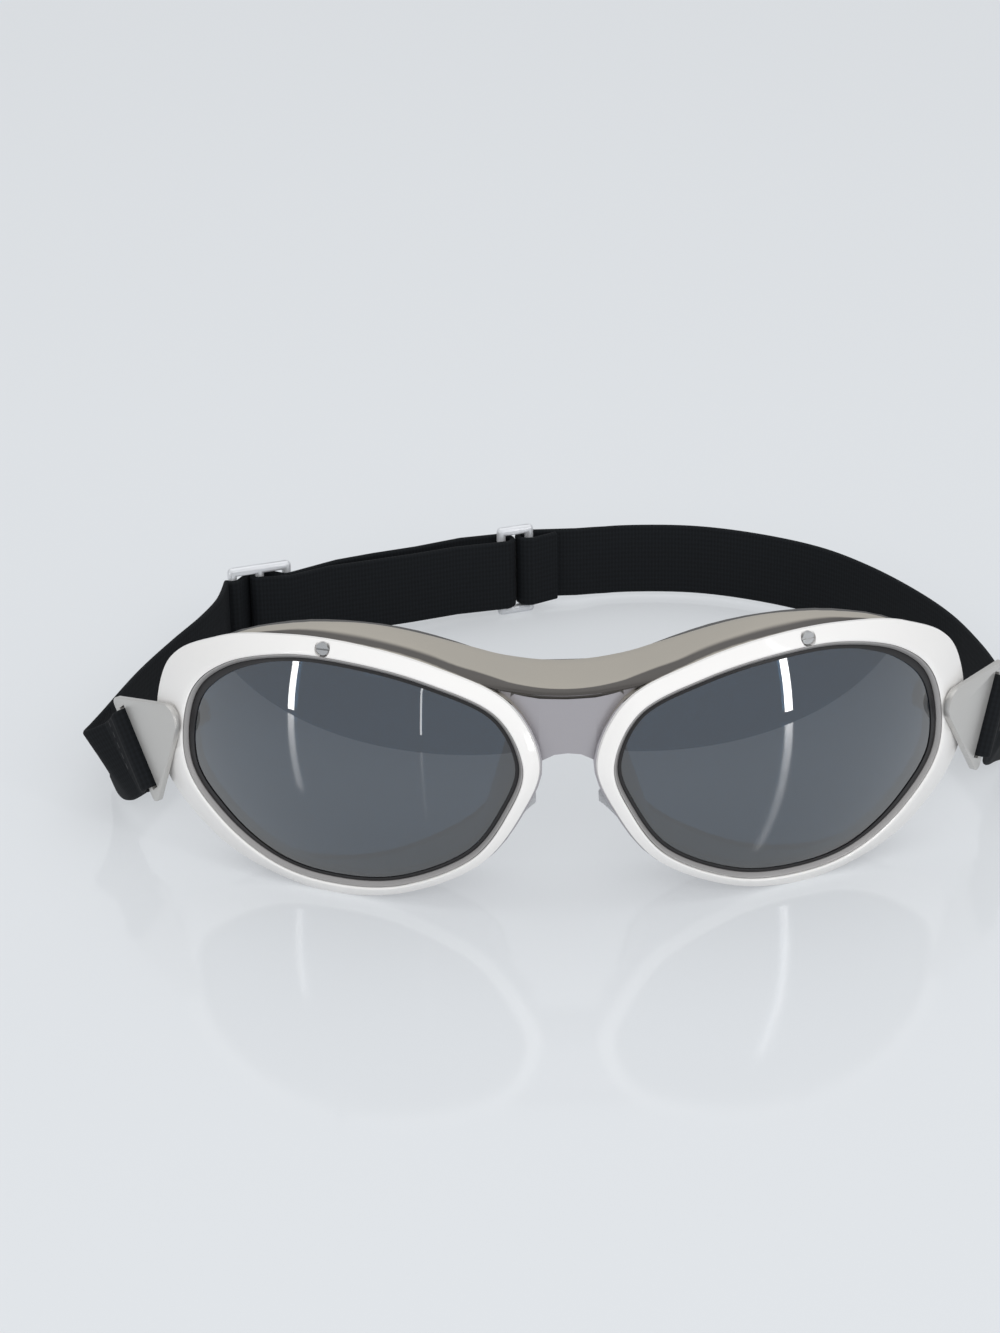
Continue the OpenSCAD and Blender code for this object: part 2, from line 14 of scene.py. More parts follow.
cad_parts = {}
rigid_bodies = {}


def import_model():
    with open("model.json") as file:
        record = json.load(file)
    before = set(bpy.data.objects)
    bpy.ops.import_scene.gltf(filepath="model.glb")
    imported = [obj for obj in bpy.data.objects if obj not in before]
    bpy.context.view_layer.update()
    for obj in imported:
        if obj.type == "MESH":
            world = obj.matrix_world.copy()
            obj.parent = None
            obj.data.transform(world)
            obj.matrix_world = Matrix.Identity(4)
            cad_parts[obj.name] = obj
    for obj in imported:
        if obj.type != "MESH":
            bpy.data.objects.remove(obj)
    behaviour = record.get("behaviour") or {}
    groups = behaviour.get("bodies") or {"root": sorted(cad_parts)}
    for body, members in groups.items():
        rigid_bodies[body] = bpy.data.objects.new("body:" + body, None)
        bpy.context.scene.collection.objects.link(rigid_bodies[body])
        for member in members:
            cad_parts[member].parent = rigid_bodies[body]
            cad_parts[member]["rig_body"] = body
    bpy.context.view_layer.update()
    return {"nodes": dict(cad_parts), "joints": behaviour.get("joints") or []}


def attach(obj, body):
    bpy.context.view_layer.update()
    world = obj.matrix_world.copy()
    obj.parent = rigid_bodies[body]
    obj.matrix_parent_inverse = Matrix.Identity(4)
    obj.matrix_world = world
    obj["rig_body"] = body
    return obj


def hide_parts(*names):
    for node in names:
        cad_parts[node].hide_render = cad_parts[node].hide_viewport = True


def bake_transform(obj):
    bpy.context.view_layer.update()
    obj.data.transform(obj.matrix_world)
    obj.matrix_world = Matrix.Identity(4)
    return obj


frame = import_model()
nodes = frame["nodes"]
joints = {joint["name"]: joint for joint in frame["joints"]}
MM = 0.001

# %% [markdown]
# The camera stands in front of the table, a little to the left, and looks down by 24 degrees. It is
# placed from the point that it looks at, its distance and its three angles, as a photographer would
# set up a tripod. The sensor's 36 mm lie along the long side of an upright picture.

# %% Camera
IMAGE_HEIGHT = 1333
FOCAL_PIXELS = 3192
SENSOR = 36
CLIP_START = 0.01
LOOK_AT = Vector((-11.981, -75.02, 49.79))
DISTANCE = 560
ELEVATION = math.radians(24)
YAW = math.radians(0.902)
ROLL = math.radians(-0.935)


def make_camera():
    ahead = Vector((
        math.sin(YAW) * math.cos(ELEVATION),
        math.cos(YAW) * math.cos(ELEVATION),
        -math.sin(ELEVATION),
    ))
    level = Vector((math.cos(YAW), -math.sin(YAW), 0))
    right = level * math.cos(ROLL) + level.cross(ahead) * math.sin(ROLL)
    up = right.cross(ahead)
    data = bpy.data.cameras.new("camera")
    data.sensor_width = SENSOR
    data.lens = FOCAL_PIXELS / IMAGE_HEIGHT * SENSOR
    data.clip_start = CLIP_START
    camera = bpy.data.objects.new("camera", data)
    turn = Matrix((right, up, -ahead)).transposed().to_4x4()
    camera.matrix_world = Matrix.Translation((LOOK_AT - ahead * DISTANCE) * MM) @ turn
    bpy.context.scene.collection.objects.link(camera)
    bpy.context.scene.camera = camera


make_camera()
print("the camera looks down by", round(math.degrees(ELEVATION)), "degrees")

# %% [markdown]
# No real surface is perfectly even. One group of nodes makes that effect, for paint, metal and
# rubber alike. It puts out a fine height for the bump and a roughness that wanders a little over
# the surface, and each material places it with its own scale.


# %% Shader helpers
FINE_DETAIL = 3
BROAD_SCALE = 60
NOISE_LOW, NOISE_HIGH = 0.3, 0.7


def new_group(name, inputs, outputs):
    group = bpy.data.node_groups.new(name, "ShaderNodeTree")
    for label, kind, value in inputs:
        socket = group.interface.new_socket(name=label, in_out="INPUT", socket_type=kind)
        socket.default_value = value
    for label, kind in outputs:
        group.interface.new_socket(name=label, in_out="OUTPUT", socket_type=kind)
    return group, group.nodes.new("NodeGroupInput"), group.nodes.new("NodeGroupOutput")


def maths(tree, operation, *values):
    node = tree.nodes.new("ShaderNodeMath")
    node.operation = operation
    for socket, value in zip(node.inputs, values):
        if isinstance(value, (int, float)):
            socket.default_value = value
        else:
            tree.links.new(value, socket)
    return node.outputs[0]


def make_grain():
    group, given, out = new_group(
        "surface_grain",
        [
            ("Vector", "NodeSocketVector", (0, 0, 0)),
            ("Scale", "NodeSocketFloat", 4000),
            ("Roughness Low", "NodeSocketFloat", 0.2),
            ("Roughness High", "NodeSocketFloat", 0.3),
        ],
        [("Height", "NodeSocketFloat"), ("Roughness", "NodeSocketFloat")],
    )
    fine = group.nodes.new("ShaderNodeTexNoise")
    fine.inputs["Detail"].default_value = FINE_DETAIL
    group.links.new(given.outputs["Vector"], fine.inputs["Vector"])
    group.links.new(given.outputs["Scale"], fine.inputs["Scale"])
    broad = group.nodes.new("ShaderNodeTexNoise")
    broad.inputs["Scale"].default_value = BROAD_SCALE
    group.links.new(given.outputs["Vector"], broad.inputs["Vector"])
    spread = group.nodes.new("ShaderNodeMapRange")
    spread.inputs["From Min"].default_value = NOISE_LOW
    spread.inputs["From Max"].default_value = NOISE_HIGH
    group.links.new(broad.outputs[0], spread.inputs["Value"])
    group.links.new(given.outputs["Roughness Low"], spread.inputs["To Min"])
    group.links.new(given.outputs["Roughness High"], spread.inputs["To Max"])
    group.links.new(fine.outputs[0], out.inputs["Height"])
    group.links.new(spread.outputs[0], out.inputs["Roughness"])
    return group


GRAIN = make_grain()
print("made the group", GRAIN.name)


def material(name, color, metallic=0.0, coat=0.0, **sockets):
    made = bpy.data.materials.new(name)
    made.use_nodes = True
    shader = made.node_tree.nodes["Principled BSDF"]
    shader.inputs["Base Color"].default_value = (*color, 1)
    shader.inputs["Metallic"].default_value = metallic
    shader.inputs["Coat Weight"].default_value = coat
    for label, value in sockets.items():
        shader.inputs[label.replace("_", " ")].default_value = value
    return made, made.node_tree, shader


def add_grain(tree, shader, scale, low, high, depth):
    place = tree.nodes.new("ShaderNodeTexCoord")
    grain = tree.nodes.new("ShaderNodeGroup")
    grain.node_tree = GRAIN
    grain.inputs["Scale"].default_value = scale
    grain.inputs["Roughness Low"].default_value = low
    grain.inputs["Roughness High"].default_value = high
    tree.links.new(place.outputs["Object"], grain.inputs["Vector"])
    bump = tree.nodes.new("ShaderNodeBump")
    bump.inputs["Distance"].default_value = depth * MM
    tree.links.new(grain.outputs["Height"], bump.inputs["Height"])
    tree.links.new(grain.outputs["Roughness"], shader.inputs["Roughness"])
    tree.links.new(bump.outputs["Normal"], shader.inputs["Normal"])


# %% [markdown]
# The rims are lacquered off-white, and the lacquer is a clear coat over a slightly rough body. Each
# finish gives its grain as the scale, the lowest and highest roughness, and the bump's depth in mm.


# %% Finishes of the rigid pieces
def grained(name, color, grain, metallic=0.0, coat=0.0, **sockets):
    made, tree, shader = material(name, color, metallic, coat, **sockets)
    add_grain(tree, shader, *grain)
    return made


rim_white = grained(
    "rim_white", (0.82, 0.805, 0.785), (2500, 0.30, 0.40, 0.004), coat=0.5, Coat_Roughness=0.08,
)
ring_grey = grained("ring_grey", (0.36, 0.35, 0.345), (6000, 0.32, 0.42, 0.004), metallic=0.3)
gasket_black = grained("gasket_black", (0.012, 0.011, 0.012), (3000, 0.35, 0.5, 0.01))
seal_rubber = grained("seal_rubber", (0.09, 0.088, 0.086), (2500, 0.6, 0.75, 0.02))
pad_rubber = grained(
    "pad_rubber", (0.72, 0.73, 0.75), (2500, 0.35, 0.5, 0.01), Transmission_Weight=0.4,
)
end_metal = grained("end_metal", (0.56, 0.55, 0.53), (7000, 0.30, 0.42, 0.005), metallic=0.6)
screw_steel = grained("screw_steel", (0.50, 0.50, 0.50), (5000, 0.2, 0.32, 0.004), metallic=1.0)
washer_steel = grained("washer_steel", (0.13, 0.13, 0.135), (5000, 0.35, 0.5, 0.006), metallic=1.0)
insert_brass = grained("insert_brass", (0.72, 0.55, 0.26), (5000, 0.25, 0.4, 0.006), metallic=1.0)
slider_metal = grained("slider_metal", (0.74, 0.75, 0.77), (4000, 0.3, 0.42, 0.006), metallic=0.45)
print("made", len(bpy.data.materials), "finishes")

# %% [markdown]
# The shell's paint has fine metal flakes, so it is partly metallic. Its colour also holds painted
# light in two tones: what faces up is a warm champagne, lighter for the light from above, and what
# faces forward a cooler, mauve grey, a painted reflection of the pale table. Where the brow rolls
# over, and in the crease below it, the colour is painted shade. This follows the direction that the
# surface faces, which the shader reads as the normal in the object's own axes, and the painted shade
# also stops at a depth and a height. Each pair below says where a change starts and where it is
# complete, in parts of the normal's length, or in metres for the last two.


# %% Shell paint
# Painted light: the lighter, warmer top tone stands for light from above, the cooler front tone for the
# pale table reflected in the front.
FRONT_REFLECTED_TONE, TOP_LIT_TONE = (0.39, 0.375, 0.395), (0.46, 0.425, 0.365)
# Painted shade: the dark tone of the brow's roll and of the crease below it.
PAINTED_SHADE_TONE = (0.085, 0.078, 0.072)
LIT_TOP_NORMAL_Z = (0.3, 0.8)
SHADE_ROLL_NORMAL_Y, SHADE_ROLL_NORMAL_Z = (-0.03, -0.16), (0.0, 0.12)
SHADE_UNDER_NORMAL_Z = (-0.02, -0.2)
SHADE_UNDER_Y = (-0.066, -0.067)
SHADE_Z = (0.0400, 0.0405)


def fade(tree, value, ends):
    """0 at the first end, 1 at the second and beyond, and smooth between."""
    node = tree.nodes.new("ShaderNodeMapRange")
    node.interpolation_type = "SMOOTHSTEP"
    node.inputs["From Min"].default_value = ends[0]
    node.inputs["From Max"].default_value = ends[1]
    tree.links.new(value, node.inputs["Value"])
    return node.outputs[0]


def blend_colors(tree, share, first, second):
    """The first colour where the share is 0, the second where it is 1."""
    node = tree.nodes.new("ShaderNodeMix")
    node.data_type = "RGBA"
    tree.links.new(share, node.inputs[0])
    for socket, value in ((node.inputs[6], first), (node.inputs[7], second)):
        if isinstance(value, tuple):
            socket.default_value = (*value, 1)
        else:
            tree.links.new(value, socket)
    return node.outputs[2]


def make_shell_paint_and_painted_light():
    made, tree, shader = material("shell_paint", TOP_LIT_TONE, metallic=0.45)
    add_grain(tree, shader, 9000, 0.34, 0.44, 0.006)
    place = tree.nodes.new("ShaderNodeTexCoord")
    faces = tree.nodes.new("ShaderNodeSeparateXYZ")
    tree.links.new(place.outputs["Normal"], faces.inputs[0])
    spots = tree.nodes.new("ShaderNodeSeparateXYZ")
    tree.links.new(place.outputs["Object"], spots.inputs[0])
    back, up = faces.outputs[1], faces.outputs[2]
    # Painted shade: a mask for the brow's roll and the crease below it, stopped at a depth and a
    # height.
    roll_shade = maths(tree, "MULTIPLY", fade(tree, back, SHADE_ROLL_NORMAL_Y), fade(tree, up, SHADE_ROLL_NORMAL_Z))
    under_shade = maths(
        tree, "MULTIPLY", fade(tree, up, SHADE_UNDER_NORMAL_Z), fade(tree, spots.outputs[1], SHADE_UNDER_Y),
    )
    shade_share = maths(tree, "MAXIMUM", roll_shade, under_shade)
    painted_shade = maths(tree, "MULTIPLY", shade_share, fade(tree, spots.outputs[2], SHADE_Z))
    # Painted light: upward faces take the lit top tone, forward faces the front tone of the table's
    # reflection.
    lit_tone = blend_colors(tree, fade(tree, up, LIT_TOP_NORMAL_Z), FRONT_REFLECTED_TONE, TOP_LIT_TONE)
    color = blend_colors(tree, painted_shade, lit_tone, PAINTED_SHADE_TONE)
    tree.links.new(color, shader.inputs["Base Color"])
    return made


shell_paint = make_shell_paint_and_painted_light()

# %% [markdown]
# These lenses are dark and a little mirrored: what shows in them is the table and the room in
# front, more than what lies behind. A Principled shader tints what passes through the whole lens by
# its base colour, so that is a deep slate, and a coat with a high index of refraction makes the
# mirror.

# %% Lens glass
lens_glass, _, _ = material(
    "lens_glass", (0.014, 0.035, 0.062), coat=1.0, Transmission_Weight=1.0, Roughness=0.015,
    IOR=1.52, Coat_IOR=1.95, Coat_Roughness=0.01,
)

# %% [markdown]
# The strap is woven elastic. Its ribs run across the band and its warp runs along it, both far
# finer than the strap is wide, so they are a bump and a slight change of colour on a map that
# follows the strap: one unit of the map is one millimetre.

# %% Webbing
RIB, WARP = 0.75, 1.1
RIB_SHARE, WARP_SHARE = 0.3, 0.2
WEAVE_DEPTH = 0.03
DARK_YARN, PALE_YARN = (0.005, 0.0057, 0.0066), (0.009, 0.0105, 0.0125)


def make_webbing():
    made, tree, shader = material(
        "strap_webbing", DARK_YARN, Roughness=0.85, Specular_IOR_Level=0.2,
    )
    uv = tree.nodes.new("ShaderNodeUVMap")
    uv.uv_map = "strap"
    parts = tree.nodes.new("ShaderNodeSeparateXYZ")
    tree.links.new(uv.outputs[0], parts.inputs[0])
    rib = maths(tree, "SINE", maths(tree, "MULTIPLY", parts.outputs[0], math.tau / RIB))
    warp = maths(tree, "SINE", maths(tree, "MULTIPLY", parts.outputs[1], math.tau / WARP))
    lengthwise = maths(tree, "MULTIPLY_ADD", warp, WARP_SHARE, 0.5)
    weave = maths(tree, "MULTIPLY_ADD", rib, RIB_SHARE, lengthwise)
    bump = tree.nodes.new("ShaderNodeBump")
    bump.inputs["Distance"].default_value = WEAVE_DEPTH * MM
    tree.links.new(weave, bump.inputs["Height"])
    tree.links.new(bump.outputs["Normal"], shader.inputs["Normal"])
    color = blend_colors(tree, weave, DARK_YARN, PALE_YARN)
    tree.links.new(color, shader.inputs["Base Color"])
    return made


strap_webbing = make_webbing()
print("made", len(bpy.data.materials), "materials")

# %% [markdown]
# Each eye has its own flat axes: u across, w up, and a level that counts millimetres back from a
# dome that the rim's crest lies on. The right eye's axes are worked out from the end piece's joint,
# and the left eye mirrors it. Brow and strap are drawn with their own y, which starts MIDDLE ahead
# of the frame's origin.

# %% The eye's axes
WRAP = math.radians(20)
DOME = 72
EYE_X, EYE_Z = 40.6, 23.3
PIVOT_U, PIVOT_W = 39.6, 3.6
MIDDLE = 75.02


def dome(u, w, level):
    """How high the dome stands over the flat axes, counted from its crown, so never above 0."""
    return math.sqrt((DOME - level) ** 2 - u * u - w * w) - DOME


pivot = Vector(joints["end_right_swing"]["pos_m"]) / MM
EYE_Y = pivot.y - PIVOT_U * math.sin(WRAP) + dome(PIVOT_U, PIVOT_W, 0) * math.cos(WRAP)


def eye_point(side, u, w, level):
    out = dome(u, w, level)
    return Vector((
        side * (EYE_X + u * math.cos(WRAP) + out * math.sin(WRAP)),
        EYE_Y + u * math.sin(WRAP) - out * math.cos(WRAP),
        EYE_Z + w,
    )) * MM


print("the eye's centre lies at y =", round(EYE_Y, 2), "mm")

# %% [markdown]
# One closed outline drives every ring round the lens. It passes through a few points, and a
# Catmull-Rom curve fills in between them, with more steps than the workshop model needs.

# %% The outline
OUTLINE = [
    (-31.6, 6), (-26.6, 15.8), (-14.7, 21.3), (-1.5, 23.8), (12, 23.5), (25.5, 19), (33.9, 10.5),
    (35.2, -3.6), (27.1, -12.9), (15.6, -19.2), (3.5, -20.8), (-9.3, -19.3), (-22.4, -12.8),
    (-29.3, -2.9),
]
BAND = [2.5, 2.5, 2.6, 2.8, 3, 4.4, 7.6, 7.9, 5.5, 2.9, 2.5, 1.9, 1.8, 2]
STEPS = 16


def between(a, b, c, d, t):
    """The Catmull-Rom curve from b to c, where a comes before them and d after."""
    square, cube = 2 * a - 5 * b + 4 * c - d, 3 * b - a - 3 * c + d
    return 0.5 * (2 * b + (c - a) * t + square * t * t + cube * t ** 3)


def closed_curve(points, steps):
    n = len(points)
    return [
        between(points[i - 1], points[i], points[(i + 1) % n], points[(i + 2) % n], k / steps)
        for i in range(n) for k in range(steps)
    ]


def open_curve(points, steps):
    held = [points[0], *points, points[-1]]
    made = [
        between(*held[i:i + 4], k / steps) for i in range(len(points) - 1) for k in range(steps)
    ]
    return made + [points[-1]]


def grown(points, widths):
    """A closed line moved outwards, by its own width at each point."""
    made = []
    for i, point in enumerate(points):
        along = (points[(i + 1) % len(points)] - points[i - 1]).normalized()
        made.append(point + widths[i] * Vector((-along.y, along.x)))
    return made


drawn = [Vector(point) for point in OUTLINE]
opening = closed_curve(drawn, STEPS)
rim_edge = closed_curve(grown(drawn, BAND), STEPS)
print("the outline has", len(opening), "points")

# %% [markdown]
# Most new pieces are a loop of points carried from place to place. A loop is drawn once, its edges
# are extruded, and the new loop is put where it belongs. Each vertex remembers which point of the
# loop it is, because an extruded vertex keeps its parent's data.


# %% Carrying a loop
def carry(loops, join, uv=None):
    mesh = bmesh.new()
    point = mesh.verts.layers.int.new("point")
    row = mesh.verts.layers.int.new("row")
    first = [mesh.verts.new(place) for place in loops[0]]
    for i, vert in enumerate(first):
        vert[point] = i
    ring = [mesh.edges.new((first[i - 1], first[i])) for i in range(len(first))]
    start = list(ring)
    for r, loop in enumerate(loops[1:], 1):
        made = bmesh.ops.extrude_edge_only(mesh, edges=ring)["geom"]
        fresh = {item for item in made if isinstance(item, bmesh.types.BMVert)}
        for vert in fresh:
            vert.co = loop[vert[point]]
            vert[row] = r
        edges = [item for item in made if isinstance(item, bmesh.types.BMEdge)]
        ring = [edge for edge in edges if edge.verts[0] in fresh and edge.verts[1] in fresh]
    if join:
        bmesh.ops.bridge_loops(mesh, edges=start + ring)
    else:
        bmesh.ops.contextual_create(mesh, geom=start)
        bmesh.ops.contextual_create(mesh, geom=ring)
    bmesh.ops.recalc_face_normals(mesh, faces=mesh.faces)
    if uv:
        layer = mesh.loops.layers.uv.new("strap")
        for face in mesh.faces:
            for corner in face.loops:
                corner[layer].uv = uv(corner.vert[row], corner.vert[point])
    return mesh


def soften(mesh, width, angle=40, segments=2):
    sharp = [e for e in mesh.edges if e.is_manifold and e.calc_face_angle() > math.radians(angle)]
    bmesh.ops.bevel(
        mesh, geom=sharp, offset=width * MM, offset_type="OFFSET", segments=segments, profile=0.5,
        affect="EDGES", material=-1, clamp_overlap=True,
    )


def shade(mesh, angle):
    """Light runs smoothly over the mesh, apart from edges sharper than the angle in degrees."""
    for face in mesh.faces:
        face.smooth = True
    for edge in mesh.edges:
        edge.smooth = not (edge.is_manifold and edge.calc_face_angle() > math.radians(angle))


def add_object(mesh, name):
    data = bpy.data.meshes.new(name)
    mesh.to_mesh(data)
    mesh.free()
    made = bpy.data.objects.new(name, data)
    bpy.context.scene.collection.objects.link(made)
    return made


def piece(mesh, name, finish, angle=35):
    shade(mesh, angle)
    made = add_object(mesh, name)
    made.data.materials.append(finish)
    return made


SIDES = {"left": -1, "right": 1}

# %% [markdown]
# Rim, grey ring and gasket are one idea with three sections: a short profile carried round the eye.
# A profile point is a distance from the opening's edge and a level behind the dome. The rim's crest
# gives shares of the way from the opening to the rim's outer edge instead of distances. The
# gasket's front lip is wider towards the temples, where the photograph shows a broader black line.
# The lens is one outline drawn smaller and smaller towards its middle, in front and again behind.

# %% Rims, rings and gaskets
RIM_CREST = [(0, 0.28), (0.14, 0), (0.5, 0.21), (0.82, 0.52), (1, 0.7)]
FLANK, SPIGOT, SEAT = 1.3, 1, 4.4
RING_PROFILE = [
    (0.1, 0.4), (0.25, 0.4), (0.6, 0.85), (0.95, 1.3), (0.95, 1.5), (0.82, 1.75), (0.82, 2.2),
    (0.63, 2.2), (0.63, SEAT), (0.1, SEAT),
]
GASKET_PROFILE = [
    (0.84, 1.78), (0.97, 1.55), (0.97, 1.38), (1.58, 1.38), (1.68, 1.58), (1.27, 1.58),
    (1.27, 3.62), (1.6, 3.62), (1.6, SEAT), (0.67, SEAT), (0.67, 2.25), (0.84, 2.25),
]
RING_ROUNDING, GASKET_ROUNDING = 0.12, 0.1
OUTER_LIP, LIP_INSET, LIP_STARTS, LIP_GROWS = 0.75, 1.5, 16, 14
LENS_INSET, LENS_FRONT, LENS_BACK = 1.25, 1.6, 3.6
LENS_RINGS, LENS_CENTRE = 24, 0.02


def rim_mesh(side):
    face = [
        ([a.lerp(b, share) for a, b in zip(opening, rim_edge)], level)
        for share, level in open_curve([Vector(p) for p in RIM_CREST], 4)
    ]
    step = grown(opening, [SPIGOT] * len(opening))
    section = [(opening, SEAT)] + face + [(rim_edge, FLANK), (step, FLANK), (step, SEAT)]
    loops = [[eye_point(side, p.x, p.y, level) for p in line] for line, level in section]
    return carry(loops, join=True)


def ring_mesh(side, profile, rounding, lip=0.0):
    loops = []
    for inset, level in profile:
        wider = lip if inset > LIP_INSET and level < LENS_FRONT else 0
        shares = [max(0, min(1, (p.x - LIP_STARTS) / LIP_GROWS)) for p in opening]
        inner = grown(opening, [-inset - wider * share for share in shares])
        loops.append([eye_point(side, p.x, p.y, level) for p in inner])
    mesh = carry(loops, join=True)
    soften(mesh, rounding)
    return mesh


def lens_mesh(side):
    edge = grown(opening, [-LENS_INSET] * len(opening))
    shares = [LENS_CENTRE] + [k / LENS_RINGS for k in range(1, LENS_RINGS)] + [1]
    rows = [(share, LENS_FRONT) for share in shares]
    rows += [(share, LENS_BACK) for share in reversed(shares)]
    loops = [[eye_point(side, p.x * s, p.y * s, level) for p in edge] for s, level in rows]
    return carry(loops, join=False)


for name, side in SIDES.items():
    ring = ring_mesh(side, RING_PROFILE, RING_ROUNDING)
    gasket = ring_mesh(side, GASKET_PROFILE, GASKET_ROUNDING, OUTER_LIP)
    made = [
        (piece(ring, "grey_ring_" + name, ring_grey), "lens_ring_"),
        (piece(gasket, "gasket_" + name, gasket_black), "lens_gasket_"),
        (piece(lens_mesh(side), "domed_lens_" + name, lens_glass), "lens_"),
    ]
    for thing, node in made:
        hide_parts(node + name)
        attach(thing, "front")
        print(thing.name, len(thing.data.vertices), "vertices")

# %% [markdown]
# The rim also has an ear behind the end piece, a hole for the pivot and a recess for its screw.
# With booleans, the ear is joined to the smooth ring and the rest is cut from it, as a milling
# cutter would.

# %% Rim ears, holes and recesses
SCREW_U, SCREW_W = 5, 25.49
YAW_OUT = math.radians(53.367)
EAR_RADIUS, PLATE_RADIUS, PIVOT_RADIUS, RECESS_RADIUS = 3.0, 5.4, 1.25, 1.5
EAR_FACE, BEYOND = -0.1, 14
RECESS_START, RECESS_END = -1, 6


def plate_axes(side):
    """The end piece's pivot in millimetres, and the directions across, up and out from its plate."""
    out = Vector((side * math.sin(YAW_OUT), -math.cos(YAW_OUT), 0))
    across = Vector((side * math.cos(YAW_OUT), math.sin(YAW_OUT), 0))
    origin = Vector((side * pivot.x, pivot.y, pivot.z))
    return origin, across, Vector((0, 0, 1)), out


def rod(origin, axis, radius, low, high, sides=48):
    mesh = bmesh.new()
    middle = origin + axis * (low + high) / 2
    turn = axis.to_track_quat("Z", "Y").to_matrix().to_4x4()
    bmesh.ops.create_cone(
        mesh, cap_ends=True, segments=sides, radius1=radius * MM, radius2=radius * MM,
        depth=(high - low) * MM, matrix=Matrix.Translation(middle * MM) @ turn,
    )
    return add_object(mesh, "cutter")


def volume(thing):
    mesh = bmesh.new()
    mesh.from_mesh(thing.data)
    found = mesh.calc_volume(signed=True) / MM ** 3
    mesh.free()
    return found


def cut(target, tool, operation):
    change = target.modifiers.new("cut", "BOOLEAN")
    change.operation = operation
    change.solver = "EXACT"
    change.object = tool
    bpy.context.view_layer.update()
    finished = target.evaluated_get(bpy.context.evaluated_depsgraph_get())
    shaped = bpy.data.meshes.new_from_object(finished)
    target.modifiers.clear()
    target.data = shaped
    print(target.name, operation.lower(), tool.name, "leaves", round(volume(target)), "mm3")
    bpy.data.objects.remove(tool)


def screw_axis(side):
    axis = Vector((side * math.sin(WRAP), -math.cos(WRAP), 0))
    return eye_point(side, SCREW_U, SCREW_W, 0) / MM, axis


for name, side in SIDES.items():
    rim = piece(rim_mesh(side), "white_rim_" + name, rim_white)
    origin, _, _, out = plate_axes(side)
    cut(rim, rod(origin, out, EAR_RADIUS, -SEAT, EAR_FACE), "UNION")
    cut(rim, rod(origin, out, PLATE_RADIUS, EAR_FACE, BEYOND), "DIFFERENCE")
    cut(rim, rod(origin, out, PIVOT_RADIUS, -BEYOND, BEYOND), "DIFFERENCE")
    seat, axis = screw_axis(side)
    cut(rim, rod(seat, axis, RECESS_RADIUS, RECESS_START, RECESS_END), "DIFFERENCE")
    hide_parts("rim_cover_" + name)
    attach(rim, "front")
    print(rim.name, len(rim.data.vertices), "vertices")

# %% [markdown]
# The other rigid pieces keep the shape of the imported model. A copy of each is merged, because the
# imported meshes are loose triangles, and its edges are marked sharp only where the real piece has an
# edge, so that light runs smoothly round the rest. The slider and the ring are grown by a fifth of
# a millimetre, as the photograph shows stouter bars. The end pieces are a little smaller all round,
# so that they swing clear of the smooth rims, and the nose pads are pressed a little deeper into
# the shell.


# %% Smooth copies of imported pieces
MERGE = 1e-6
STOUTER, SMALLER = 0.22, -0.08
END_EDGE = 0.22
PAD_SINK = 0.7


def dressed(node, finish, angle=32, edge=0.0, grow=0.0):
    mesh = bmesh.new()
    mesh.from_mesh(nodes[node].data)
    bmesh.ops.remove_doubles(mesh, verts=mesh.verts, dist=MERGE)
    bmesh.ops.dissolve_degenerate(mesh, edges=mesh.edges, dist=MERGE)
    if grow:
        mesh.normal_update()
        for vert in mesh.verts:
            vert.co += vert.normal * grow * MM
    if edge:
        bmesh.ops.dissolve_limit(
            mesh, angle_limit=math.radians(1), verts=mesh.verts, edges=mesh.edges,
        )
        soften(mesh, edge, angle=50)
    made = piece(mesh, node + "_smooth", finish, angle)
    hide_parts(node)
    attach(made, nodes[node]["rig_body"])
    return made


shell = dressed("frame_shell", shell_paint)
dressed("face_seal", seal_rubber)
dressed("strap_slider", slider_metal, angle=60, grow=STOUTER)
dressed("strap_ring", slider_metal, angle=60, grow=STOUTER)
for name in SIDES:
    dressed("end_piece_" + name, end_metal, edge=END_EDGE, grow=SMALLER)
    dressed("rim_screw_" + name, screw_steel)
    dressed("screw_insert_" + name, insert_brass)
    pad = dressed("nose_pad_" + name, pad_rubber, angle=50)
    for vert in pad.data.vertices:
        vert.co.x += SIDES[name] * PAD_SINK * MM
    dressed("pivot_washer_" + name, washer_steel)
    dressed("pivot_screw_" + name, washer_steel)

# %% [markdown]
# The shell's brow is one flowing surface on the real goggles: it dips between the eyes, rises over
# each lens, and rolls down in front to meet the rims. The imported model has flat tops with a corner
# there. So a brow is carried from one temple to the other, one section at each station, and joined
# to the shell with a boolean. Each section starts behind the rim, rolls up a quarter of an ellipse
# and runs back to the face. A thin tube is cut out first, just below the roll, for the dark crease
# above the bridge.
#
# A row of the table says, for one distance from the middle: the front and its height, the end of
# the roll and its height, the back and its height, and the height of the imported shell's top.

